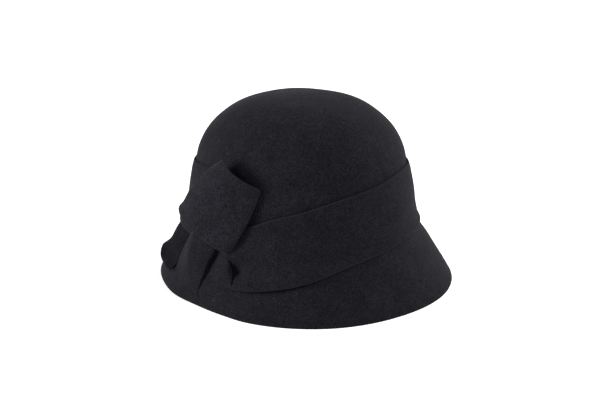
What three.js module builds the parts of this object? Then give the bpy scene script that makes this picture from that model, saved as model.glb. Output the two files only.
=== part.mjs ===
// A wool-felt cloche hat. The crown and the downturned brim are blocked from one felt body, and two
// pleats of the brim are drawn up beside the wearer's right ear. A wide felt band winds round the
// crown, level at the back, and slants down over the front to a folded knot that covers the pleats'
// tops. The strip's cut tail shows behind them. Millimetres, +Z up, the hat stands on its rim and
// faces -Y. Azimuths are in degrees from the front, and grow towards the wearer's left (+X).

import * as THREE from 'three';
import { mergeVertices } from 'three/addons/utils/BufferGeometryUtils.js';

// Felt, and the play left between two layers of it
const FELT = 2.2;
const CLEARANCE = 0.3;
const LAYER = FELT + CLEARANCE;

// The head opening inside the felt, at the line where the crown meets the brim
const HEAD_LENGTH = 190.6;
const HEAD_WIDTH = 185.6;

// Crown above the head line; brim below it, and how far the brim reaches out at the front
const CROWN_RISE = 106.4;
const BRIM_DROP = 46.8;
const BRIM_REACH = 26;

// Band: its width at the back, how far it stands above the head line there, how far it takes to
// climb over the tail's edge, and how far behind the knot's middle its hidden end lies
const BAND_WIDTH = 58;
const BAND_STAND = 2.2;
const BAND_RAMP = 15;
const BAND_END = 14.5;

// Pleats: height of their ridge, the length over which they sink under the knot, and how far their
// inner face is drawn in below their edge
const PLEAT_RISE = 9;
const PLEAT_FADE = 12;
const PLEAT_TUCK = 1.3;

// Tail: its length, how much of it is under the band, and how far its cut end springs off the brim
const TAIL_LENGTH = 42.5;
const TAIL_TUCK = 8;
const TAIL_SPRING = 4.2;

// Knot: the width of its strip, the height of its rounded top, where its middle lies, and how far
// its foot edge bows down
const KNOT_SIDE = 58;
const KNOT_RISE = 11;
const KNOT_AZIMUTH = -80.7;
const KNOT_HEIGHT = 39;
const KNOT_BOW = 2.5;

// Coarse facets take up part of the play, so a layer that follows a curved face is given more
const SEAT = 1.5 * CLEARANCE;

// The brim's section: height as a share of BRIM_DROP, reach as a share of the reach at that azimuth
const BRIM_SECTION = [
  { height: 0.00, reach: 1.000 },
  { height: 0.25, reach: 0.786 },
  { height: 0.50, reach: 0.547 },
  { height: 0.75, reach: 0.285 },
];

// The crown's section: rise as a share of CROWN_RISE, width as a share of the head line's radius.
// The last row runs on past the pole, so that the top comes in level.
const CROWN_SECTION = [
  { rise: 0.000, width: 1.000 },
  { rise: 0.150, width: 0.955 },
  { rise: 0.300, width: 0.937 },
  { rise: 0.450, width: 0.907 },
  { rise: 0.600, width: 0.876 },
  { rise: 0.720, width: 0.816 },
  { rise: 0.830, width: 0.706 },
  { rise: 0.920, width: 0.555 },
  { rise: 0.980, width: 0.308 },
  { rise: 1.000, width: 0.000 },
  { rise: 0.980, width: -0.308 },
];

// How far the brim reaches at each azimuth, as a share of BRIM_REACH: least where the pleats draw it in
const BRIM_ROUND = [
  { azimuth: -180, reach: 0.94 },
  { azimuth: -150, reach: 0.87 },
  { azimuth: -120, reach: 0.77 },
  { azimuth: -90, reach: 0.59 },
  { azimuth: -60, reach: 0.82 },
  { azimuth: -30, reach: 0.99 },
  { azimuth: 0, reach: 1.00 },
  { azimuth: 30, reach: 1.13 },
  { azimuth: 60, reach: 1.13 },
  { azimuth: 90, reach: 0.96 },
  { azimuth: 120, reach: 0.88 },
  { azimuth: 150, reach: 0.90 },
  { azimuth: 180, reach: 0.94 },
];

// The band's edges: how far the lower edge has slipped down the brim, as a share of BRIM_DROP, and
// the band's height there, as a share of BAND_WIDTH
const BAND_ROUND = [
  { azimuth: -80, slip: 0.61, width: 0.72 },
  { azimuth: -67, slip: 0.59, width: 0.83 },
  { azimuth: -55, slip: 0.53, width: 0.92 },
  { azimuth: -40, slip: 0.41, width: 0.94 },
  { azimuth: -20, slip: 0.20, width: 0.92 },
  { azimuth: 0, slip: 0.08, width: 0.91 },
  { azimuth: 20, slip: 0.01, width: 0.92 },
  { azimuth: 40, slip: 0.00, width: 0.92 },
  { azimuth: 60, slip: 0.00, width: 0.90 },
  { azimuth: 120, slip: 0.00, width: 0.90 },
  { azimuth: 200, slip: 0.00, width: 0.92 },
  { azimuth: 230, slip: 0.00, width: 0.97 },
  { azimuth: 245, slip: 0.00, width: 1.00 },
  { azimuth: 260, slip: 0.00, width: 1.00 },
];

// The pleats' creases from back to front: the azimuth where each leaves the knot and where it dies
// out, its height there as a share of PLEAT_RISE, the height where it starts to sink under the knot
// as a share of BRIM_DROP, and the side towards which its inner face is tucked
const CREASES = [
  { top: -104.4, foot: -112.0, topRise: 0.00, footRise: 0.00, start: 1.12, tuck: 1 },
  { top: -102.6, foot: -110.8, topRise: 0.55, footRise: 0.17, start: 1.12, tuck: 1 },
  { top: -97.5, foot: -92.6, topRise: 1.00, footRise: 0.40, start: 1.12, tuck: 0 },
  { top: -82.4, foot: -91.3, topRise: 0.55, footRise: 0.34, start: 1.12, tuck: -1 },
  { top: -81.2, foot: -90.2, topRise: 0.14, footRise: 0.09, start: 1.00, tuck: -1 },
  { top: -77.4, foot: -68.8, topRise: 0.50, footRise: 0.34, start: 0.94, tuck: -1 },
  { top: -76.2, foot: -67.5, topRise: 0.00, footRise: 0.00, start: 0.94, tuck: -1 },
];

// Heights on the pleats as shares of BRIM_DROP: where the creases' ends are given, and between
// which they flatten towards the rim
const CREASE_TOP = 1.15;
const CREASE_FOOT = 0.26;
const FLAT_BELOW = 0.08;
const FULL_ABOVE = 0.55;

// The tail off the brim: share of its length from under the band, and share of TAIL_SPRING. Its
// front edge springs less, over a share of its width.
const TAIL_CURL = [
  { along: 0.00, lift: 0.00 },
  { along: 0.64, lift: 0.00 },
  { along: 0.75, lift: 0.18 },
  { along: 0.85, lift: 0.52 },
  { along: 0.95, lift: 0.88 },
  { along: 1.00, lift: 1.00 },
];
const TAIL_BACK = { top: -137, foot: -141 };
const TAIL_FRONT = { spring: 0.45, width: 0.6 };

// The knot's corners from its middle, along the crown (towards the front) and up, as shares of KNOT_SIDE
const KNOT_CORNERS = {
  frontTop: { along: 0.533, up: 0.248 },
  frontFoot: { along: 0.162, up: -0.683 },
  backTop: { along: -0.116, up: 0.512 },
  backFoot: { along: -0.751, up: -0.191 },
};

// The knot's section, from its front flap over the top to its back flap: place across it as a share
// of the way from front to back, and height as a share of KNOT_RISE
const KNOT_SECTION = [
  { across: 0.34, lift: 0.00 },
  { across: 0.16, lift: 0.00 },
  { across: 0.03, lift: 0.08 },
  { across: 0.00, lift: 0.28 },
  { across: 0.04, lift: 0.50 },
  { across: 0.14, lift: 0.73 },
  { across: 0.32, lift: 0.93 },
  { across: 0.52, lift: 1.00 },
  { across: 0.72, lift: 0.93 },
  { across: 0.88, lift: 0.74 },
  { across: 0.97, lift: 0.53 },
  { across: 1.00, lift: 0.36 },
  { across: 0.97, lift: 0.20 },
  { across: 0.88, lift: 0.09 },
  { across: 0.74, lift: 0.05 },
];

// What the knot's flaps lie on, in layers of felt above the band, from its top edge to its foot edge
const KNOT_SEAT = [
  { along: 0.0, front: -1.0, back: -1.0 },
  { along: 0.3, front: -0.8, back: 0.0 },
  { along: 0.6, front: 0.1, back: 0.7 },
  { along: 1.0, front: 1.2, back: 2.0 },
];

// Fineness: columns round the plain felt, between two creases and at the band's hidden end; rows
const PLAIN_COLUMNS = 50;
const CREASE_COLUMNS = [1, 3, 2, 1, 3, 1];
const HIDDEN_COLUMNS = 7;
const ROWS_PER_SECTION = 2;
const BAND_ROWS = 5;
const TAIL_ROWS = 9;
const TAIL_COLUMNS = 8;
const KNOT_ROWS = 8;
const KNOT_COLUMNS = 26;
const HALVINGS = 30;
const SAME_POINT = 1e-4;

// The azimuths between which the body is plain, and the share of its outline above all pleats
const PLAIN_START = -62;
const PLAIN_END = -122;
const ABOVE_PLEATS = 0.5;

const DEGREE = Math.PI / 180;

const mix = THREE.MathUtils.lerp;
const ease = THREE.MathUtils.smoothstep;

// Reads a column of a table between its rows, along a smooth curve
function readTable(rows, key, column, at) {
  const last = rows.length - 1;
  if (at <= rows[0][key]) return rows[0][column];
  if (at >= rows[last][key]) return rows[last][column];
  const slope = (i) => {
    const before = rows[Math.max(i - 1, 0)];
    const after = rows[Math.min(i + 1, last)];
    return (after[column] - before[column]) / (after[key] - before[key]);
  };
  const i = rows.findIndex((row, n) => at < rows[n + 1][key]);
  const span = rows[i + 1][key] - rows[i][key];
  const t = (at - rows[i][key]) / span;
  const rise = rows[i + 1][column] - rows[i][column];
  const leave = slope(i) * span;
  const arrive = slope(i + 1) * span;
  return rows[i][column] + leave * t + (3 * rise - 2 * leave - arrive) * t ** 2
    + (leave + arrive - 2 * rise) * t ** 3;
}

// The angle round the hat that a length along the head line takes up
function arc(length) {
  return length / (HEAD_WIDTH / 2) / DEGREE;
}

function headRadius(azimuth) {
  const along = Math.cos(azimuth * DEGREE) / (HEAD_LENGTH / 2 + FELT);
  const across = Math.sin(azimuth * DEGREE) / (HEAD_WIDTH / 2 + FELT);
  return 1 / Math.hypot(along, across);
}

// The hat's outline at one azimuth, from the rim to the pole and one row past it
function outlineAt(azimuth) {
  const turn = THREE.MathUtils.euclideanModulo(azimuth + 180, 360) - 180;
  const head = headRadius(azimuth);
  const reach = BRIM_REACH * readTable(BRIM_ROUND, 'azimuth', 'reach', turn);
  const at = (radius, height) => new THREE.Vector3(radius, 0, height);
  const brim = BRIM_SECTION.map((row) => at(head + reach * row.reach, BRIM_DROP * row.height));
  const crown = CROWN_SECTION.map((row) => at(head * row.width, BRIM_DROP + CROWN_RISE * row.rise));
  return new THREE.CatmullRomCurve3([...brim, ...crown], false, 'centripetal');
}

const SPANS = BRIM_SECTION.length + CROWN_SECTION.length - 1;
const POLE = (SPANS - 1) / SPANS;

// A point of the outer face, pushed out by lift; place runs from 0 at the rim to 1 past the pole
function facePoint(azimuth, outline, place, lift) {
  const point = outline.getPoint(place);
  const tangent = outline.getTangent(place);
  const radius = point.x + tangent.z * lift;
  const height = point.z - tangent.x * lift;
  const turn = azimuth * DEGREE;
  return new THREE.Vector3(radius * Math.sin(turn), -radius * Math.cos(turn), height);
}

// The place on an outline where it reaches a height
function placeAtHeight(outline, height) {
  let low = 0;
  let high = POLE;
  for (let i = 0; i < HALVINGS; i += 1) {
    const middle = (low + high) / 2;
    if (outline.getPoint(middle).z < height) low = middle;
    else high = middle;
  }
  return (low + high) / 2;
}

function skin(azimuth, height, lift) {
  const outline = outlineAt(azimuth);
  return facePoint(azimuth, outline, placeAtHeight(outline, height), lift);
}

// How far up its crease a height is, from foot (0) to top (1)
function creaseShare(height) {
  return THREE.MathUtils.clamp((height / BRIM_DROP - CREASE_FOOT) / (CREASE_TOP - CREASE_FOOT), 0, 1);
}

// Where a crease lies at a height, and how far it stands out there
function creaseAzimuth(crease, height) {
  return mix(crease.foot, crease.top, creaseShare(height));
}

function creaseFade(crease, height) {
  const start = crease.start * BRIM_DROP;
  const sinking = 1 - ease(height, start, start + PLEAT_FADE);
  return sinking * ease(height, FLAT_BELOW * BRIM_DROP, FULL_ABOVE * BRIM_DROP);
}

function creaseLift(crease, height) {
  const rise = mix(crease.footRise, crease.topRise, creaseShare(height));
  return PLEAT_RISE * rise * creaseFade(crease, height);
}

// Closes two faces of a felt sheet, given as rows of points, into one solid. A round sheet meets
// itself after its last column, and a domed one ends in a pole.
function feltSolid(outer, inner, { round = false, domed = false } = {}) {
  const triangles = [];
  const quad = (a, b, c, d) => {
    for (const corners of [[a, b, c], [a, c, d]]) {
      const [p, q, r] = corners;
      const shortest = Math.min(p.distanceTo(q), q.distanceTo(r), r.distanceTo(p));
      if (shortest > SAME_POINT) triangles.push(corners);
    }
  };
  const rows = outer.length;
  const columns = outer[0].length;
  const next = (j) => (j + 1) % columns;
  const steps = round ? columns : columns - 1;
  for (let i = 0; i < rows - 1; i += 1) {
    for (let j = 0; j < steps; j += 1) {
      quad(outer[i][j], outer[i][next(j)], outer[i + 1][next(j)], outer[i + 1][j]);
      quad(inner[i][j], inner[i + 1][j], inner[i + 1][next(j)], inner[i][next(j)]);
    }
  }
  for (let j = 0; j < steps; j += 1) {
    quad(outer[0][next(j)], outer[0][j], inner[0][j], inner[0][next(j)]);
    const top = rows - 1;
    if (!domed) quad(outer[top][j], outer[top][next(j)], inner[top][next(j)], inner[top][j]);
  }
  for (let i = 0; i < rows - 1 && !round; i += 1) {
    const end = columns - 1;
    quad(outer[i][0], outer[i + 1][0], inner[i + 1][0], inner[i][0]);
    quad(outer[i + 1][end], outer[i][end], inner[i][end], inner[i + 1][end]);
  }
  const wedge = ([a, b, c]) => a.dot(new THREE.Vector3().crossVectors(b, c));
  const volume = triangles.reduce((sum, corners) => sum + wedge(corners), 0);
  const facing = volume > 0 ? triangles : triangles.map(([a, b, c]) => [a, c, b]);
  const geometry = new THREE.BufferGeometry().setFromPoints(facing.flat());
  const merged = mergeVertices(geometry, SAME_POINT);
  merged.computeVertexNormals();
  return merged;
}

// Columns round the hat: the plain ones, and those that follow the creases of the pleats
function bodyColumns() {
  const columns = [];
  const plainSpan = 360 + PLAIN_END - PLAIN_START;
  for (let i = 0; i <= PLAIN_COLUMNS; i += 1) {
    const azimuth = PLAIN_START + (plainSpan * i) / PLAIN_COLUMNS;
    columns.push({ top: azimuth, foot: azimuth, topRise: 0, footRise: 0, start: 1, tuck: 0 });
  }
  const back = { ...columns[columns.length - 1], top: PLAIN_END, foot: PLAIN_END };
  const front = { ...columns[0] };
  const blend = (a, b, t) => Object.fromEntries(Object.keys(a).map((key) => [key, mix(a[key], b[key], t)]));
  const first = CREASES[0];
  const last = CREASES[CREASES.length - 1];
  columns.push(blend(back, first, 1 / 3), blend(back, first, 2 / 3));
  CREASES.forEach((crease, i) => {
    columns.push(crease);
    const steps = CREASE_COLUMNS[i] ?? 1;
    for (let step = 1; step < steps; step += 1) columns.push(blend(crease, CREASES[i + 1], step / steps));
  });
  columns.push(blend(last, front, 0.5));
  return columns;
}

// The felt's inner point lies one felt thickness in, and beside a crease also a little under the pleat
function bodyPoints(column, place) {
  const height = outlineAt(column.top).getPoint(place).z;
  const azimuth = creaseAzimuth(column, height);
  const lift = creaseLift(column, height);
  const outline = outlineAt(azimuth);
  const spot = place > ABOVE_PLEATS ? place : placeAtHeight(outline, height);
  const outer = facePoint(azimuth, outline, spot, lift);
  const innerAzimuth = azimuth + column.tuck * arc(PLEAT_TUCK) * creaseFade(column, height);
  const inner = facePoint(innerAzimuth, outlineAt(innerAzimuth), spot, lift - FELT);
  return { outer, inner };
}

function hatBody() {
  const columns = bodyColumns();
  const outer = [];
  const inner = [];
  const rows = (SPANS - 1) * ROWS_PER_SECTION;
  for (let i = 0; i <= rows; i += 1) {
    const points = columns.map((column) => bodyPoints(column, (POLE * i) / rows));
    outer.push(points.map((point) => point.outer));
    inner.push(points.map((point) => point.inner));
  }
  // The rim is cut level, and the pole is one point on each face
  inner[0].forEach((point) => point.setZ(0));
  for (const face of [outer[rows], inner[rows]]) {
    face.forEach((point) => point.set(0, 0, point.z));
  }
  return feltSolid(outer, inner, { round: true, domed: true });
}

function bandFoot(azimuth) {
  return BRIM_DROP * (1 - readTable(BAND_ROUND, 'azimuth', 'slip', azimuth)) + BAND_STAND;
}

function bandTop(azimuth) {
  return bandFoot(azimuth) + BAND_WIDTH * readTable(BAND_ROUND, 'azimuth', 'width', azimuth);
}

// The band lies one layer higher where the tail is tucked under its foot
function bandLift(azimuth, height) {
  const edge = 360 + TAIL_BACK.top - arc(2 * LAYER);
  const overTail = ease(azimuth, edge - arc(BAND_RAMP), edge);
  const tuckTop = BRIM_DROP + BAND_STAND + TAIL_TUCK + FELT;
  return SEAT + (LAYER + CLEARANCE) * overTail * (1 - ease(height, tuckTop, tuckTop + BAND_RAMP));
}

// The play beside a pleat's foot, as an angle
const SIDE_PLAY = arc(2 * CLEARANCE);

function bandFrontEnd(height) {
  return creaseAzimuth(CREASES[CREASES.length - 1], height) + SIDE_PLAY;
}

function bandBackEnd(height) {
  const clearOfPleats = creaseAzimuth(CREASES[0], height) - SIDE_PLAY;
  const sunk = CREASES[0].start * BRIM_DROP + PLEAT_FADE;
  const t = THREE.MathUtils.clamp((height - sunk) / (BRIM_DROP + BAND_WIDTH - sunk), 0, 1);
  return 360 + mix(clearOfPleats, KNOT_AZIMUTH - arc(BAND_END), t);
}

function band() {
  const plain = bodyColumns().slice(0, PLAIN_COLUMNS + 1).map((column) => column.top);
  const outer = [];
  const inner = [];
  for (let i = 0; i <= BAND_ROWS; i += 1) {
    const share = i / BAND_ROWS;
    const heightAt = (azimuth) => mix(bandFoot(azimuth), bandTop(azimuth), share);
    const front = bandFrontEnd(heightAt(CREASES[CREASES.length - 1].top));
    const back = bandBackEnd(heightAt(360 + CREASES[0].top));
    const last = plain[plain.length - 1];
    const hidden = Array.from(
      { length: HIDDEN_COLUMNS },
      (_, j) => mix(last, back, (j + 1) / HIDDEN_COLUMNS),
    );
    const azimuths = [front, mix(front, plain[0], 0.5), ...plain, ...hidden];
    outer.push(azimuths.map((azimuth) => {
      const height = heightAt(azimuth);
      return skin(azimuth, height, bandLift(azimuth, height) + FELT);
    }));
    inner.push(azimuths.map((azimuth) => {
      const height = heightAt(azimuth);
      return skin(azimuth, height, bandLift(azimuth, height));
    }));
  }
  return feltSolid(outer, inner);
}

function tail() {
  const outer = [];
  const inner = [];
  const top = BRIM_DROP + BAND_STAND + TAIL_TUCK;
  for (let i = 0; i <= TAIL_ROWS; i += 1) {
    const along = i / TAIL_ROWS;
    const height = top - TAIL_LENGTH * along;
    const front = creaseAzimuth(CREASES[0], height) - SIDE_PLAY;
    const back = mix(TAIL_BACK.top, TAIL_BACK.foot, along);
    const spring = TAIL_SPRING * readTable(TAIL_CURL, 'along', 'lift', along);
    const columns = Array.from({ length: TAIL_COLUMNS + 1 }, (_, j) => j / TAIL_COLUMNS);
    const point = (share, lift) => {
      const off = SEAT + spring * mix(TAIL_FRONT.spring, 1, ease(share, 0, TAIL_FRONT.width));
      return skin(mix(front, back, share), height, off + lift);
    };
    outer.push(columns.map((share) => point(share, FELT)));
    inner.push(columns.map((share) => point(share, 0)));
  }
  return feltSolid(outer, inner);
}

// A point of the knot: across it from front (0) to back (1), down it from its top edge (0) to its foot
// edge (1), and out from the crown
function knotPoint(across, down, lift) {
  const { frontTop, frontFoot, backTop, backFoot } = KNOT_CORNERS;
  const at = (key) => {
    const front = mix(frontTop[key], frontFoot[key], down);
    const back = mix(backTop[key], backFoot[key], down);
    return KNOT_SIDE * mix(front, back, across);
  };
  const bow = KNOT_BOW * 4 * across * (1 - across) * down ** 2;
  return skin(KNOT_AZIMUTH + arc(at('along')), BRIM_DROP + KNOT_HEIGHT + at('up') - bow, lift);
}

function knot() {
  const section = new THREE.CatmullRomCurve3(
    KNOT_SECTION.map((row) => new THREE.Vector3(row.across * KNOT_SIDE, row.lift * KNOT_RISE, 0)),
    false,
    'centripetal',
  );
  const outer = [];
  const inner = [];
  for (let i = 0; i <= KNOT_ROWS; i += 1) {
    const down = i / KNOT_ROWS;
    const faces = [[], []];
    for (let j = 0; j <= KNOT_COLUMNS; j += 1) {
      const point = section.getPointAt(j / KNOT_COLUMNS);
      const tangent = section.getTangentAt(j / KNOT_COLUMNS);
      const seatFront = readTable(KNOT_SEAT, 'along', 'front', down);
      const seatBack = readTable(KNOT_SEAT, 'along', 'back', down);
      const seat = LAYER * (1 + mix(seatFront, seatBack, point.x / KNOT_SIDE)) + CLEARANCE + FELT / 2;
      [FELT / 2, -FELT / 2].forEach((offset, face) => {
        const across = (point.x - tangent.y * offset) / KNOT_SIDE;
        faces[face].push(knotPoint(across, down, seat + point.y + tangent.x * offset));
      });
    }
    outer.push(faces[0]);
    inner.push(faces[1]);
  }
  return feltSolid(outer, inner);
}

const felt = (color) => new THREE.MeshStandardMaterial({ color, roughness: 0.95, metalness: 0 });

const pieces = {
  hat_body: [hatBody(), felt(0x1b1a1d)],
  band: [band(), felt(0x19181b)],
  knot: [knot(), felt(0x1d1c20)],
  tail: [tail(), felt(0x1a191c)],
};

const hat = new THREE.Group();
for (const [name, [geometry, material]] of Object.entries(pieces)) {
  const mesh = new THREE.Mesh(geometry, material);
  mesh.name = name;
  hat.add(mesh);
}

// The origin is the middle of the hat's box, on the surface that the rim stands on
const middle = new THREE.Box3().setFromObject(hat).getCenter(new THREE.Vector3());
hat.position.set(-middle.x, -middle.y, 0);
hat.updateMatrixWorld(true);

export default hat;
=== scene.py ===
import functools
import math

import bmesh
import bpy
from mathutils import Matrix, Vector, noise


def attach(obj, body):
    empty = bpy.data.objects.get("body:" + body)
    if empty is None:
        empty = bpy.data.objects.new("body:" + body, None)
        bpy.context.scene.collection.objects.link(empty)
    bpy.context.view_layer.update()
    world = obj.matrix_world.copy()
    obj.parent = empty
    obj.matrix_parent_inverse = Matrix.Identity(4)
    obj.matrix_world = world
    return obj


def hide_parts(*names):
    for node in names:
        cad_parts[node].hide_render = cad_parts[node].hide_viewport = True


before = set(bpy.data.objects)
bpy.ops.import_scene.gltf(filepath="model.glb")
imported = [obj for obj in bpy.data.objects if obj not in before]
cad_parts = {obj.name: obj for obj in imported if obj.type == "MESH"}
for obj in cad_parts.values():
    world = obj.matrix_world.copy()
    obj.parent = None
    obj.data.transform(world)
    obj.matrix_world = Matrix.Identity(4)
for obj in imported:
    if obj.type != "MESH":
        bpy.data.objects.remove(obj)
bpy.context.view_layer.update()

# %% [markdown]
# A wool-felt cloche, shaped and finished
#
# A cloche is blocked from one cone of black wool felt. A wide felt band is wound round it, slants over
# the front, and ends under a folded knot, with two pleats of the brim drawn up below. Felt has no
# weave and no hem: what makes it read as felt is its thickness, its soft cut edges and its nap. So
# every piece here is a thin closed sheet with round edges, laid on the one below it.
#
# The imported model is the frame. It gives the box of the hat and the axis of the crown, and each
# piece made below takes the place of one plain node.

MM = 0.001
pole = max(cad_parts["hat_body"].data.vertices, key=lambda vertex: vertex.co.z).co
AXIS = Vector((pole.x, pole.y, 0.0))
print("crown axis at", round(AXIS.x * 1000, 2), round(AXIS.y * 1000, 2), "mm")

# %% [markdown]
# Sizes
#
# The lengths are those of a hat for a 57 cm head. Azimuths are in degrees round the crown's axis, 0
# at the front and growing towards the wearer's left. Heights are from the rim. A short table gives a
# shape by a few rows, and a smooth curve or straight lines through the rows give what lies between.

# %% The felt and the block
FELT = 2.2 * MM
PLAY = 0.35 * MM
LAYER = FELT + PLAY
HEAD_FRONT = 97.5 * MM
HEAD_SIDE = 95.0 * MM
BRIM_DROP = 46.8 * MM
BRIM_REACH = 26.0 * MM

# height, the brim's reach there as a share, the crown's width there as a share. The last row lies
# past the pole, so that the top comes in level.
PROFILE = (
    (0.0 * MM, 1.000, 1.000),
    (11.7 * MM, 0.778, 1.000),
    (23.4 * MM, 0.537, 1.000),
    (35.1 * MM, 0.293, 1.000),
    (46.8 * MM, 0.000, 1.000),
    (62.8 * MM, 0.000, 0.955),
    (78.7 * MM, 0.000, 0.937),
    (94.7 * MM, 0.000, 0.907),
    (110.6 * MM, 0.000, 0.876),
    (124.2 * MM, 0.000, 0.808),
    (135.3 * MM, 0.000, 0.705),
    (144.5 * MM, 0.000, 0.568),
    (150.9 * MM, 0.000, 0.370),
    (153.4 * MM, 0.000, 0.170),
    (154.1 * MM, 0.000, 0.000),
    (153.4 * MM, 0.000, -0.170),
)
POLE = len(PROFILE) - 2

# azimuth, the brim's reach as a share of BRIM_REACH
REACH_ROUND = (
    (-180, 0.940), (-150, 0.980), (-120, 0.785), (-105, 0.720), (-90, 0.600), (-75, 0.650),
    (-60, 0.825), (-30, 0.980), (0, 0.994), (30, 1.124), (60, 1.150), (90, 1.041),
    (120, 0.899), (150, 0.896), (180, 0.934),
)


def curve(rows, at, column):
    """Reads a column of a table at a value of its first column, along a smooth curve."""
    last = len(rows) - 1
    if at <= rows[0][0]:
        return rows[0][column]
    if at >= rows[last][0]:
        return rows[last][column]
    i = next(n for n in range(last) if at < rows[n + 1][0])

    def slope(n):
        before, after = rows[max(n - 1, 0)], rows[min(n + 1, last)]
        return (after[column] - before[column]) / (after[0] - before[0])

    span = rows[i + 1][0] - rows[i][0]
    share = (at - rows[i][0]) / span
    rise = rows[i + 1][column] - rows[i][column]
    leave, arrive = slope(i) * span, slope(i + 1) * span
    bend = (3 * rise - 2 * leave - arrive) * share**2 + (leave + arrive - 2 * rise) * share**3
    return rows[i][column] + leave * share + bend


def mix(a, b, share):
    return a + (b - a) * share


def ease(value, low, high):
    share = min(max((value - low) / (high - low), 0.0), 1.0)
    return share * share * (3 - 2 * share)


print("tables:", len(PROFILE), "rows up the block,", len(REACH_ROUND), "round the brim")

# %% [markdown]
# The blocked form
#
# Everything lies on the blocked form, so one function gives a point of it: an azimuth, a place along
# the profile and a lift off the felt's outer face. Every layer is placed by the same function, so a
# layer that lies on another follows all its bends. A hand-blocked hat is never quite regular, and a
# slow noise of a few tenths of a millimetre gives the shell its small, soft unevenness.

# %% A point on the blocked form
UNEVEN = 0.55 * MM
UNEVEN_SIZE = 34.0 * MM

# the hollow beside the front pleat, where the band buckles under its edge
POCKET_DEPTH = 5.4 * MM
POCKET = {"azimuth": -70.5, "spread": 4.4, "height": 34.5 * MM, "tall": 6.0 * MM}


@functools.lru_cache(maxsize=None)
def profile(place):
    rows = [(n,) + row for n, row in enumerate(PROFILE)]
    return tuple(curve(rows, place, column) for column in (1, 2, 3))


@functools.lru_cache(maxsize=None)
def place_at(height):
    low, high = 0.0, float(POLE)
    for _ in range(24):
        middle = (low + high) / 2
        if profile(middle)[0] < height:
            low = middle
        else:
            high = middle
    return (low + high) / 2


@functools.lru_cache(maxsize=None)
def round_at(azimuth):
    turn = math.radians(azimuth)
    head = 1 / math.hypot(math.cos(turn) / HEAD_FRONT, math.sin(turn) / HEAD_SIDE)
    folded = (azimuth + 180) % 360 - 180
    return head, BRIM_REACH * curve(REACH_ROUND, folded, 1)


def pocket(azimuth, height):
    across = ((azimuth + 180) % 360 - 180 - POCKET["azimuth"]) / POCKET["spread"]
    up = (height - POCKET["height"]) / POCKET["tall"]
    return POCKET_DEPTH * math.exp(-across * across - up * up)


def form(azimuth, place, lift=0.0, along=0.0):
    """A point of the form; lift is out from the face, along is down towards the rim."""
    head, reach = round_at(azimuth)
    height, out, width = profile(place)
    step = 0.02
    above, below = profile(place + step), profile(max(place - step, 0))
    radius = head * width + reach * out
    across = head * (above[2] - below[2]) + reach * (above[1] - below[1])
    rise = above[0] - below[0]
    length = math.hypot(across, rise)
    across, rise = across / length, rise / length
    turn = math.radians(azimuth)
    spot = Vector((radius * math.sin(turn), -radius * math.cos(turn), height))
    uneven = UNEVEN * noise.noise(spot / UNEVEN_SIZE) * ease(height, 4 * MM, 30 * MM)
    radius += rise * (lift + uneven) - across * along
    height -= across * (lift + uneven) + rise * along
    return AXIS + Vector((radius * math.sin(turn), -radius * math.cos(turn), height))


def skin(azimuth, height, lift):
    return form(azimuth, place_at(round(height, 6)), lift)


def arc(length):
    """The angle that a length along the head line takes up."""
    return math.degrees(length / HEAD_SIDE)


print("head line at the side", [round(value * 1000, 1) for value in form(90, 4)])

# %% [markdown]
# Pleats
#
# Two pleats of the brim are drawn up under the knot. A pleat is a fold that laps over what lies
# beside it. It could be a dent pushed into the shell, but its edge would stay blunt. Here the columns of
# the shell are bunched along the crease lines, and the line under an edge lies further in than the
# edge, so that the felt really turns under and the crease keeps its shadow.

# %% The crease lines
PLEAT_RISE = 9.0 * MM
CREASE_TOP = 1.15 * BRIM_DROP
CREASE_FOOT = 0.26 * BRIM_DROP

# column on the plain shell, azimuth at the top and at the foot, how far it turns under an edge, rise
# as a share of PLEAT_RISE, and the heights in mm between which it comes up out of the plain brim
CREASES = (
    (-130.0, -130.0, -130.0, 0.0, 0.00, 4, 50),
    (-108.0, -106.5, -113.5, 0.0, 0.00, 4, 50),
    (-106.0, -104.2, -111.8, 1.4, 0.02, 4, 50),
    (-104.5, -104.1, -111.7, 0.7, 0.28, 4, 50),
    (-103.0, -104.0, -111.6, 0.0, 0.48, 4, 50),
    (-101.0, -103.0, -110.4, 0.0, 0.60, 4, 50),
    (-97.5, -98.5, -97.0, 0.0, 0.98, 3, 40),
    (-95.5, -96.6, -95.4, 0.0, 1.04, 3, 40),
    (-91.6, -87.4, -93.0, 0.0, 0.78, 4, 38),
    (-89.8, -84.6, -91.6, 0.0, 0.62, 4, 38),
    (-88.3, -82.0, -90.3, 0.0, 0.50, 5, 36),
    (-87.0, -81.5, -90.0, 0.0, 0.32, 5, 36),
    (-85.8, -81.5, -90.4, -0.6, 0.06, 5, 36),
    (-84.6, -80.8, -89.2, 0.0, 0.05, 5, 36),
    (-83.2, -80.0, -87.0, 0.0, 0.12, 8, 36),
    (-80.0, -78.9, -80.0, 0.0, 0.34, 12, 34),
    (-77.2, -78.4, -71.8, 0.0, 0.55, 18, 34),
    (-75.0, -76.8, -69.3, 0.0, 0.55, 19, 34),
    (-74.2, -76.4, -68.8, 0.0, 0.45, 19, 34),
    (-73.4, -76.3, -68.7, -0.2, 0.20, 19, 34),
    (-72.0, -76.2, -68.6, -0.9, 0.00, 19, 34),
    (-70.0, -74.8, -67.8, 0.0, 0.00, 19, 34),
    (-58.0, -58.0, -58.0, 0.0, 0.00, 19, 34),
)


def line(rows, at, column):
    """Reads a column of a table along straight lines."""
    if at <= rows[0][0] or at >= rows[-1][0]:
        return rows[0][column] if at <= rows[0][0] else rows[-1][column]
    i = next(n for n in range(len(rows) - 1) if at < rows[n + 1][0])
    share = (at - rows[i][0]) / (rows[i + 1][0] - rows[i][0])
    return mix(rows[i][column], rows[i + 1][column], share)


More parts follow.
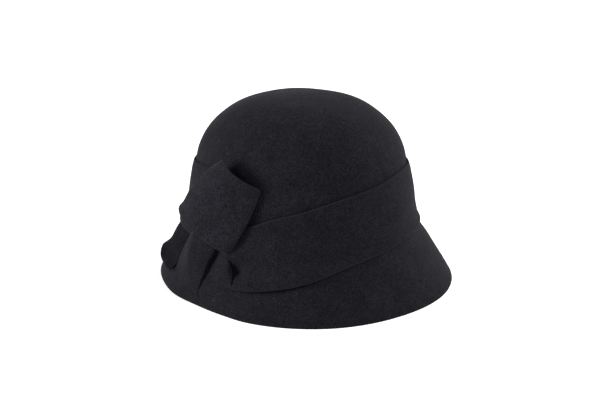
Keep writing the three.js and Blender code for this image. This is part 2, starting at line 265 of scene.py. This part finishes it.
def pleated(column, height):
    """The azimuth and the lift that the pleats give to a column of the shell at a height."""
    folded = (column + 180) % 360 - 180
    if not CREASES[0][0] < folded < CREASES[-1][0]:
        return column, 0.0
    share = min(max((height - CREASE_FOOT) / (CREASE_TOP - CREASE_FOOT), 0.0), 1.0)
    azimuth = mix(line(CREASES, folded, 2), line(CREASES, folded, 1), share)
    raised = ease(height, line(CREASES, folded, 5) * MM, line(CREASES, folded, 6) * MM)
    raised *= 1 - ease(height, 1.1 * BRIM_DROP, 1.35 * BRIM_DROP)
    above = 1 - ease(height, 1.5 * BRIM_DROP, 2.4 * BRIM_DROP)
    gather = ease(height, 0.02 * BRIM_DROP, 0.20 * BRIM_DROP) * above
    azimuth = mix(folded, azimuth, gather) + raised * line(CREASES, folded, 3)
    return azimuth, PLEAT_RISE * line(CREASES, folded, 4) * raised


print("crease lines:", len(CREASES))

# %% [markdown]
# Crown and brim
#
# The shell is a form turned about the crown's axis, so it starts as a profile that is spun: the
# outer face from the pole to the rim, round the cut edge of the felt, and back up the inner face. A
# spin alone gives a perfect round, so each vertex is then carried to its own place on the block:
# the oval head, the uneven brim and the pleats. A number stored on the vertices tells which
# point of the profile each one came from.

# %% Spin the shell and carry it to the block
SPIN_STEPS = 84
SPIN_CUTS = 4
STEPS = 5
EDGE_STEPS = 6


def section():
    """Points of the felt's section as (place, lift, along), from the outer pole to the inner one."""
    rim = place_at(FELT / 2)
    places = [POLE - n / STEPS for n in range(POLE * STEPS) if POLE - n / STEPS > rim + 0.06]
    outer = [(place, 0.0, 0.0) for place in places]
    edge = []
    for n in range(EDGE_STEPS + 1):
        turn = math.pi * n / EDGE_STEPS
        edge.append((rim, FELT / 2 * (math.cos(turn) - 1), FELT / 2 * math.sin(turn)))
    inner = [(place, -FELT, 0.0) for place in reversed(places)]
    return outer + edge + inner


def add_mesh(name, bm):
    mesh = bpy.data.meshes.new(name)
    bm.to_mesh(mesh)
    bm.free()
    mesh.shade_smooth()
    piece = bpy.data.objects.new(name, mesh)
    bpy.context.collection.objects.link(piece)
    return piece


def felt_shell():
    points = section()
    bm = bmesh.new()
    row = bm.verts.layers.int.new("row")
    verts = []
    for n, (place, lift, along) in enumerate(points):
        spot = form(0, place, lift, along) - AXIS
        vert = bm.verts.new((0.0, -max(-spot.y, 0.0), spot.z))
        vert[row] = n
        verts.append(vert)
    edges = [bm.edges.new(pair) for pair in zip(verts, verts[1:])]
    bmesh.ops.spin(
        bm, geom=verts + edges, cent=(0, 0, 0), axis=(0, 0, 1), dvec=(0, 0, 0),
        angle=2 * math.pi, steps=SPIN_STEPS, use_merge=True,
    )
    rings = [edge for edge in bm.edges if edge.verts[0][row] == edge.verts[1][row]]
    bmesh.ops.subdivide_edges(bm, edges=rings, cuts=SPIN_CUTS, use_grid_fill=True)
    for vert in bm.verts:
        place, lift, along = points[vert[row]]
        if place > POLE - 0.5 / STEPS:
            vert.co = form(0, POLE, lift)
            vert.co.xy = AXIS.xy
            continue
        column = math.degrees(math.atan2(vert.co.x, -vert.co.y))
        azimuth, rise = pleated(column, profile(place)[0])
        hollow = pocket(azimuth, profile(place)[0]) * (1 - ease(rise, 0.0, 0.25 * PLEAT_RISE))
        vert.co = form(azimuth, place, lift + rise - hollow, along)
        vert.co.z = max(vert.co.z, 0.0)
    bmesh.ops.remove_doubles(bm, verts=bm.verts, dist=0.01 * MM)
    bmesh.ops.recalc_face_normals(bm, faces=bm.faces)
    open_edges = sum(not edge.is_manifold for edge in bm.edges)
    print("shell:", len(bm.faces), "faces,", open_edges, "open edges")
    print("shell: felt", round(bm.calc_volume() * 1e6, 1), "cm3")
    return add_mesh("crown_and_brim", bm)


shell = felt_shell()

# %% [markdown]
# A way to lay a strip of felt
#
# The band, the knot and the tail are strips cut from flat felt. Each starts as a grid, whose columns
# and rows are carried to the hat by a rule for that piece. Solidify gives the felt's thickness to
# both sides of the middle of the sheet, and one level of subdivision rounds its cut edges.

# %% Lay a strip
def felt_strip(name, columns, rows, rule, press=None):
    """A grid whose vertices go where rule(u, v) says; u and v run from 0 to 1."""
    bm = bmesh.new()
    bmesh.ops.create_grid(bm, x_segments=columns, y_segments=rows, size=1.0)
    weights = bm.verts.layers.deform.verify()
    cut = bm.verts.layers.float.new("cut_edge")
    for vert in bm.verts:
        u, v = (vert.co.x + 1) / 2, (vert.co.y + 1) / 2
        vert[cut] = float(vert.is_boundary)
        vert.co = rule(u, v)
        vert[weights][0] = press(v) if press else 1.0
    area = sum(face.calc_area() for face in bm.faces)
    print(name, "strip:", len(bm.faces), "faces, area", round(area * 1e4, 1), "cm2")
    piece = add_mesh(name, bm)
    piece.vertex_groups.new(name="thickness")
    wall = piece.modifiers.new("felt_thickness", "SOLIDIFY")
    wall.vertex_group = "thickness"
    wall.thickness = FELT
    wall.offset = 0.0
    wall.use_even_offset = True
    soft = piece.modifiers.new("soft_edges", "SUBSURF")
    soft.levels = 1
    soft.render_levels = 1
    return piece


# %% [markdown]
# The band
#
# The band is a strip about 50 to 59 mm wide. It isn't quite straight: its lower edge is longer than
# its upper one, which real felt would need steam for. It sits level on the crown at the back, and
# slips down over the brim at the front, so its two edges are given round the hat. Its front end tucks
# under the edge of the front pleat, and buckles there: a small lobe where it leaves the knot, a hollow
# under the lobe, and its lower corner standing off the brim.

# %% The band's edges and its lie
BAND_WIDTH = 58.0 * MM
BAND_STAND = 2.2 * MM
BAND_RAMP = 15.0 * MM
TAIL_TUCK = 8.0 * MM
EDGE_PRESS = 0.65
TAIL_BACK_TOP = -137.0
TAIL_BACK_FOOT = -141.0
LOOSE_FOOT = 1.0 * MM
LOOSE_TOP = 0.7 * MM
RIPPLE = 0.35 * MM

# where the band buckles beside the knot: the height, how far it stands off, and how far that spreads
BUCKLES = ((47.0 * MM, 4.4 * MM, 6.0 * MM), (20.0 * MM, 2.4 * MM, 7.0 * MM))

# azimuth, how far the lower edge has slipped as a share of BRIM_DROP, width as a share of BAND_WIDTH
BAND_ROUND = (
    (-80, 0.610, 0.720),
    (-67, 0.590, 0.830),
    (-55, 0.530, 0.920),
    (-40, 0.410, 0.940),
    (-20, 0.200, 0.920),
    (0, 0.080, 0.910),
    (20, 0.010, 0.920),
    (40, 0.000, 0.910),
    (60, 0.000, 0.850),
    (120, 0.000, 0.850),
    (200, 0.000, 0.860),
    (230, 0.000, 0.885),
    (245, 0.000, 0.950),
    (262, 0.000, 1.000),
)
BAND_FRONT = {"top": -76.9, "foot": -70.0}
BAND_BACK = 263.0


def band_foot(azimuth):
    return BRIM_DROP * (1 - curve(BAND_ROUND, azimuth, 1)) + BAND_STAND


def band_height(azimuth, share):
    return band_foot(azimuth) + share * BAND_WIDTH * curve(BAND_ROUND, azimuth, 2)


def pressed(share):
    """The felt's thickness as a share: the band's upper edge is pulled tight and pressed thin."""
    return mix(1.0, EDGE_PRESS, ease(share, 0.88, 0.99))


def band_lift(azimuth, height, share):
    edge = 360 + TAIL_BACK_TOP - arc(2 * LAYER)
    over_tail = ease(azimuth, edge - arc(BAND_RAMP), edge)
    tuck_top = BRIM_DROP + BAND_STAND + TAIL_TUCK + FELT
    lift = PLAY + LAYER * over_tail * (1 - ease(height, tuck_top, tuck_top + BAND_RAMP))
    near_knot = 1 - ease(azimuth, -76, -58)
    buckle = sum(off * math.exp(-(((height - at) / spread) ** 2)) for at, off, spread in BUCKLES)
    ripple = RIPPLE * noise.noise(Vector((azimuth / 11, share * 2, 4.0)))
    loose = LOOSE_FOOT * (1 - ease(share, 0.0, 0.12)) - 0.45 * FELT * (1 - pressed(share))
    loose += LOOSE_TOP * ease(share, 0.86, 1.0) * (1 - ease(azimuth, 5, 45))
    lift += buckle * near_knot + loose + ripple * ease(abs(share - 0.5), 0.2, 0.5)
    return lift - pocket(azimuth, height)


def band_rule(u, v):
    front = mix(BAND_FRONT["foot"], BAND_FRONT["top"], ease(v, 0.0, 0.62))
    azimuth = mix(front, BAND_BACK, u)
    height = band_height(azimuth, v)
    return skin(azimuth, height, band_lift(azimuth, height, v) + FELT / 2)


band = felt_strip("wound_band", 240, 24, band_rule, pressed)

# %% [markdown]
# The knot
#
# The knot is a strip folded over itself and set as a diamond, which widens towards its foot. Two of
# its sides are cut edges: the upper one, towards the crown's top, and the lower one, over the pleats.
# Along the back it is creased hard, and along the front it only rolls under. Its section across is
# one open curve, from the flap under the front roll over the top to the flap under the back crease.
# The photograph doesn't show how it is tied, so it isn't tied through.

# %% Lay the knot
KNOT_AZIMUTH = -80.7
KNOT_MIDDLE = BRIM_DROP + 39.0 * MM
KNOT_RISE = 12.5 * MM

# share of the way down from the cut top edge to the cut foot edge, then along the crown and up from the
# knot's middle, in mm, for the back crease and for the front roll
KNOT_SIDES = (
    (0.00, -2.8, 30.8, 31.6, 15.0),
    (0.33, -19.2, 18.3, 26.4, -3.0),
    (0.66, -30.8, 3.6, 18.2, -21.6),
    (0.86, -35.2, -6.6, 13.6, -32.4),
    (1.00, -41.4, -12.6, 9.6, -40.2),
)

# step along the section, place across it as a share from front to back, height as a share of KNOT_RISE
KNOT_SECTION = (
    (0, 0.34, 0.02),
    (1, 0.18, 0.00),
    (2, 0.05, 0.01),
    (3, 0.00, 0.06),
    (4, 0.02, 0.16),
    (5, 0.09, 0.32),
    (6, 0.22, 0.55),
    (7, 0.40, 0.79),
    (8, 0.60, 0.98),
    (9, 0.80, 0.95),
    (10, 0.94, 0.80),
    (11, 0.99, 0.63),
    (12, 1.00, 0.50),
    (13, 0.97, 0.40),
    (14, 0.86, 0.33),
    (15, 0.72, 0.30),
)

# what the flaps lie on, in layers above the felt: share of the way down, under the front, under the back
KNOT_SEAT = ((0.0, 0.0, 0.0), (0.3, 0.2, 1.0), (0.6, 1.1, 1.7), (1.0, 2.2, 3.0))
KNOT_BOW = 2.5 * MM
FLAP_SET_BACK = 6.0 * MM

# the knot's small unevenness, and how many steps of the noise lie across the knot and down it
KNOT_UNEVEN = 0.5 * MM
KNOT_STEPS = 2.4


def knot_rule(u, v):
    step = u * KNOT_SECTION[-1][0]
    across, lift = curve(KNOT_SECTION, step, 1), curve(KNOT_SECTION, step, 2)
    along = MM * mix(curve(KNOT_SIDES, v, 3), curve(KNOT_SIDES, v, 1), across)
    up = MM * mix(curve(KNOT_SIDES, v, 4), curve(KNOT_SIDES, v, 2), across)
    up -= KNOT_BOW * 4 * across * (1 - across) * v**2
    under = max(1 - ease(step, 1.0, 3.6), ease(step, 11.0, 13.4))
    up -= FLAP_SET_BACK * under * (1 - v) ** 3
    seat = LAYER * mix(curve(KNOT_SEAT, v, 1), curve(KNOT_SEAT, v, 2), across) + PLAY
    uneven = KNOT_UNEVEN * noise.noise(Vector((across * KNOT_STEPS, v * KNOT_STEPS, 9.0)))
    return skin(KNOT_AZIMUTH + arc(along), KNOT_MIDDLE + up, seat + FELT / 2 + KNOT_RISE * lift + uneven)


knot = felt_strip("folded_knot", 64, 26, knot_rule)

# %% [markdown]
# The tail
#
# The strip's cut end comes out from under the band behind the pleats. It lies on the brim at first,
# and its last third springs off. Its front side follows the edge of the back pleat.

# %% Lay the tail
TAIL_LENGTH = 42.5 * MM
TAIL_SPRING = 4.5 * MM

# the shell's column along which the tail's front side runs, and how many degrees it reaches past
# that line, towards the pleat
TAIL_FRONT_COLUMN = -106.6
TAIL_PAST = 0.6

# share of the way down, share of TAIL_SPRING
TAIL_CURL = ((0.0, 0.0), (0.68, 0.0), (0.78, 0.07), (0.87, 0.42), (0.95, 0.84), (1.0, 1.0))


def tail_rule(u, v):
    height = BRIM_DROP + BAND_STAND + TAIL_TUCK - TAIL_LENGTH * v
    front = pleated(TAIL_FRONT_COLUMN, height)[0] + TAIL_PAST
    azimuth = mix(front, mix(TAIL_BACK_TOP, TAIL_BACK_FOOT, v), u)
    spring = TAIL_SPRING * curve(TAIL_CURL, v, 1) * mix(0.75, 1.0, ease(u, 0.0, 0.6))
    return skin(azimuth, height, PLAY + FELT / 2 + spring)


tail = felt_strip("strip_tail", 22, 20, tail_rule)

# %% [markdown]
# Black felt
#
# Black felt isn't black paint. Its wool fibres lie in all directions, so it is matte face on, and
# at a glancing angle they catch light, which is the sheen. Close up there are fine fibres, a slow
# mottle where the nap is brushed, and a few pale flecks of lint. Principled BSDF holds all of it:
# a dark base, high roughness and sheen, with noise for the colour and for a fine bump. A number
# stored along the edges of the strips makes those edges a little paler: partly the frayed core of a
# cut edge, and partly a painted highlight where the cut edges catch light.
#
# The hat in the photograph looks like one felt throughout. Here the knot's is lighter, which is
# painted light, and the tail's is darker with little gloss, which is painted shade, only so that their
# tones match the photograph in this view and light.

# %% Felt material
FELT_ROUGHNESS = 0.92
SHEEN_ROUGHNESS = 0.24
SHEEN_TINT = (0.80, 0.80, 0.92, 1.0)
# Paler cut edges: partly the felt's frayed core, partly a painted highlight where the edges catch light.
FRAYED_EDGE_AND_HIGHLIGHT_COLOUR = (0.0175, 0.0167, 0.0220, 1.0)
LINT_COLOUR = (0.050, 0.050, 0.055, 1.0)
FIBRE_SCALE = 560.0


def felt_material(name, dark, light, sheen, gloss=0.12):
    material = bpy.data.materials.new(name)
    material.use_nodes = True
    nodes, links = material.node_tree.nodes, material.node_tree.links
    shader = nodes["Principled BSDF"]
    shader.inputs["Roughness"].default_value = FELT_ROUGHNESS
    shader.inputs["Specular IOR Level"].default_value = gloss
    shader.inputs["Sheen Weight"].default_value = sheen
    shader.inputs["Sheen Roughness"].default_value = SHEEN_ROUGHNESS
    shader.inputs["Sheen Tint"].default_value = SHEEN_TINT
    where = nodes.new("ShaderNodeTexCoord")

    def noise_node(scale, detail, roughness, distortion=0.0):
        node = nodes.new("ShaderNodeTexNoise")
        node.inputs["Scale"].default_value = scale
        node.inputs["Detail"].default_value = detail
        node.inputs["Roughness"].default_value = roughness
        node.inputs["Distortion"].default_value = distortion
        links.new(where.outputs["Object"], node.inputs["Vector"])
        return node

    def ramp(source, low, high, first, second):
        node = nodes.new("ShaderNodeValToRGB")
        node.color_ramp.elements[0].position = low
        node.color_ramp.elements[1].position = high
        node.color_ramp.elements[0].color = (*first, 1.0)
        node.color_ramp.elements[1].color = (*second, 1.0)
        links.new(source, node.inputs["Fac"])
        return node

    fibres = noise_node(FIBRE_SCALE, 6.0, 0.80, 2.0)
    mottle = noise_node(75.0, 3.0, 0.6)
    base = ramp(fibres.outputs["Fac"], 0.42, 0.62, dark, light)
    shade = ramp(mottle.outputs["Fac"], 0.3, 0.7, (0.82,) * 3, (1.18,) * 3)
    tone = nodes.new("ShaderNodeMix")
    tone.data_type = "RGBA"
    tone.blend_type = "MULTIPLY"
    tone.inputs["Factor"].default_value = 1.0
    links.new(base.outputs["Color"], tone.inputs["A"])
    links.new(shade.outputs["Color"], tone.inputs["B"])

    # The cut edges are painted paler: partly frayed felt, partly a painted highlight along the edges.
    cut = nodes.new("ShaderNodeAttribute")
    cut.attribute_name = "cut_edge"
    keen = nodes.new("ShaderNodeMath")
    keen.operation = "POWER"
    keen.inputs[1].default_value = 3.0
    links.new(cut.outputs["Fac"], keen.inputs[0])
    frayed_and_highlight = nodes.new("ShaderNodeMix")
    frayed_and_highlight.data_type = "RGBA"
    links.new(keen.outputs["Value"], frayed_and_highlight.inputs["Factor"])
    links.new(tone.outputs["Result"], frayed_and_highlight.inputs["A"])
    frayed_and_highlight.inputs["B"].default_value = FRAYED_EDGE_AND_HIGHLIGHT_COLOUR

    def lint(turn, scale):
        """Short pale hairs: cells drawn out along one way, cut to a small spot at their middle."""
        slant = nodes.new("ShaderNodeMapping")
        slant.inputs["Rotation"].default_value = turn
        slant.inputs["Scale"].default_value = (1.0, 0.10, 1.0)
        links.new(where.outputs["Object"], slant.inputs["Vector"])
        cells = nodes.new("ShaderNodeTexVoronoi")
        cells.inputs["Scale"].default_value = scale
        links.new(slant.outputs["Vector"], cells.inputs["Vector"])
        return ramp(cells.outputs["Distance"], 0.010, 0.040, (1.0,) * 3, (0.0,) * 3)

    hairs = nodes.new("ShaderNodeMath")
    hairs.operation = "MAXIMUM"
    links.new(lint((0.5, 0.9, 0.4), 130.0).outputs["Color"], hairs.inputs[0])
    links.new(lint((1.9, 0.3, 1.2), 115.0).outputs["Color"], hairs.inputs[1])
    dusted = nodes.new("ShaderNodeMix")
    dusted.data_type = "RGBA"
    links.new(hairs.outputs["Value"], dusted.inputs["Factor"])
    links.new(frayed_and_highlight.outputs["Result"], dusted.inputs["A"])
    dusted.inputs["B"].default_value = LINT_COLOUR
    links.new(dusted.outputs["Result"], shader.inputs["Base Color"])

    nap = noise_node(FIBRE_SCALE, 6.0, 0.85, 0.8)
    fine = nodes.new("ShaderNodeBump")
    fine.inputs["Strength"].default_value = 0.55
    fine.inputs["Distance"].default_value = 0.5 * MM
    links.new(nap.outputs["Fac"], fine.inputs["Height"])
    lumps = noise_node(180.0, 3.0, 0.6)
    coarse = nodes.new("ShaderNodeBump")
    coarse.inputs["Strength"].default_value = 0.35
    coarse.inputs["Distance"].default_value = 0.6 * MM
    links.new(lumps.outputs["Fac"], coarse.inputs["Height"])
    links.new(fine.outputs["Normal"], coarse.inputs["Normal"])
    links.new(coarse.outputs["Normal"], shader.inputs["Normal"])
    print("material", name)
    return material


BLACK_DARK, BLACK_LIGHT = (0.0034, 0.0032, 0.0045), (0.0215, 0.0206, 0.0275)
body_felt = felt_material("black_body_felt", BLACK_DARK, BLACK_LIGHT, 0.080)
strip_felt = felt_material("black_strip_felt", BLACK_DARK, BLACK_LIGHT, 0.070)
# The knot's felt is paler than the band's: painted light on the knot.
knot_felt = felt_material("black_knot_felt_painted_light", (0.0046, 0.0044, 0.0060), (0.0295, 0.0281, 0.0378), 0.100)
# The tail's felt is darker and less glossy than the band's: painted shade on the tail.
tail_felt = felt_material("black_tail_felt_painted_shade", (0.0020, 0.0019, 0.0027), (0.0180, 0.0172, 0.0230), 0.036, 0.02)

# %% [markdown]
# Each piece takes the place of its node
#
# The hat has no joints, so all pieces ride on the one body. Each stands for the plain node that it
# covers, which is hidden. Its felt is the one made above.

# %% Tie the pieces to the frame
for piece, node, slot, finish in (
    (shell, "hat_body", "body_felt", body_felt),
    (band, "band", "band_felt", strip_felt),
    (knot, "knot", "knot_felt", knot_felt),
    (tail, "tail", "band_felt", tail_felt),
):
    piece.data.materials.append(finish)
    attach(piece, "root")
    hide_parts(node)
    print(piece.name, "stands for", node)

# %% [markdown]
# The strips as cut
#
# Felt is a sheet too, and each strip was cut flat before it was wound or folded. The shaped strips
# are stretched: the band's lower edge is a tenth longer than its upper one, and the knot widens
# towards its foot. The check at the end can find a wrong scale or a doubled layer, but not a stretch.
# Crown and brim are blocked from a cone, not cut flat.

print("strips: band, knot and tail")

# %% [markdown]
# Camera, floor and light
#
# The camera stands where it matches the photograph's outline: to the wearer's right of the hat's
# front, about 18 degrees above it, 1.4 m away with a long lens. Two lights on the left model the form,
# one near the front fills it, and two larger ones, at the side and behind, catch the nap along the
# outline. The white surround and the floor's glow are seen by the camera only. A much dimmer surround
# adds a little light on the hat, and the glow washes out the shadow that the hat would throw.

# %% Camera
IMAGE_WIDTH, IMAGE_HEIGHT = 594, 420
VIEW_AZIMUTH = -40.0
VIEW_HEIGHT = 18.13
VIEW_DISTANCE = 1.3886
AIM_HEIGHT = 75.0 * MM
SCALE_AT_AIM = 1.213
MIDDLE_PIXEL = (301.45, 188.16)
SENSOR = 36.0

turn, tilt = math.radians(VIEW_AZIMUTH), math.radians(VIEW_HEIGHT)
towards = Vector((math.sin(turn) * math.cos(tilt), -math.cos(turn) * math.cos(tilt), math.sin(tilt)))
aim = AXIS + Vector((0, 0, AIM_HEIGHT))
camera_data = bpy.data.cameras.new("camera")
camera_data.sensor_width = SENSOR
camera_data.lens = SCALE_AT_AIM / MM * VIEW_DISTANCE * SENSOR / IMAGE_WIDTH
camera_data.shift_x = (IMAGE_WIDTH / 2 - MIDDLE_PIXEL[0]) / IMAGE_WIDTH
camera_data.shift_y = (MIDDLE_PIXEL[1] - IMAGE_HEIGHT / 2) / IMAGE_WIDTH
camera = bpy.data.objects.new("camera", camera_data)
camera.location = aim + towards * VIEW_DISTANCE
camera.rotation_euler = (-towards).to_track_quat("-Z", "Y").to_euler()
bpy.context.collection.objects.link(camera)
bpy.context.scene.camera = camera
print("lens", round(camera_data.lens, 1), "mm")

# %% Floor and surround
PAPER_GLOW = 0.55
SURROUND = 0.06

bm = bmesh.new()
bmesh.ops.create_circle(bm, cap_ends=True, segments=96, radius=6.0)
floor = add_mesh("floor", bm)
paper = bpy.data.materials.new("pale_paper")
paper.use_nodes = True
nodes, links = paper.node_tree.nodes, paper.node_tree.links
sheet = nodes["Principled BSDF"]
sheet.inputs["Base Color"].default_value = (0.9, 0.9, 0.9, 1.0)
sheet.inputs["Roughness"].default_value = 0.9
sheet.inputs["Emission Color"].default_value = (1.0, 1.0, 1.0, 1.0)
glow = nodes.new("ShaderNodeMath")
glow.operation = "MULTIPLY"
glow.inputs[1].default_value = PAPER_GLOW
path = nodes.new("ShaderNodeLightPath")
links.new(path.outputs["Is Camera Ray"], glow.inputs[0])
links.new(glow.outputs["Value"], sheet.inputs["Emission Strength"])
floor.data.materials.append(paper)

world = bpy.data.worlds.new("studio")
world.use_nodes = True
nodes, links = world.node_tree.nodes, world.node_tree.links
white = nodes["Background"]
white.inputs["Color"].default_value = (1.0, 1.0, 1.0, 1.0)
white.inputs["Strength"].default_value = 1.0
soft = nodes.new("ShaderNodeBackground")
soft.inputs["Color"].default_value = (1.0, 1.0, 1.0, 1.0)
soft.inputs["Strength"].default_value = SURROUND
seen = nodes.new("ShaderNodeLightPath")
either = nodes.new("ShaderNodeMixShader")
links.new(seen.outputs["Is Camera Ray"], either.inputs["Fac"])
links.new(soft.outputs["Background"], either.inputs[1])
links.new(white.outputs["Background"], either.inputs[2])
links.new(either.outputs["Shader"], nodes["World Output"].inputs["Surface"])
bpy.context.scene.world = world
bpy.context.scene.view_settings.view_transform = "Standard"


# %% Lights
def area_light(name, azimuth, height, distance, size, power):
    """A square soft light that looks at the hat's middle."""
    data = bpy.data.lights.new(name, "AREA")
    data.size = size
    data.energy = power
    light = bpy.data.objects.new(name, data)
    turn, tilt = math.radians(azimuth), math.radians(height)
    way = Vector((math.sin(turn) * math.cos(tilt), -math.cos(turn) * math.cos(tilt), math.sin(tilt)))
    light.location = aim + way * distance
    light.rotation_euler = (-way).to_track_quat("-Z", "Y").to_euler()
    bpy.context.collection.objects.link(light)
    print(name, power, "W")


area_light("left_low_light", -120.0, 12.0, 1.6, 0.5, 18.0)
area_light("left_high_light", -118.0, 38.0, 1.6, 0.5, 6.0)
area_light("left_rim_light", -172.0, 22.0, 1.8, 1.2, 6.5)
area_light("front_light", 12.0, 42.0, 1.6, 0.5, 15.5)
area_light("right_rim_light", 92.0, 28.0, 1.8, 1.2, 24.0)
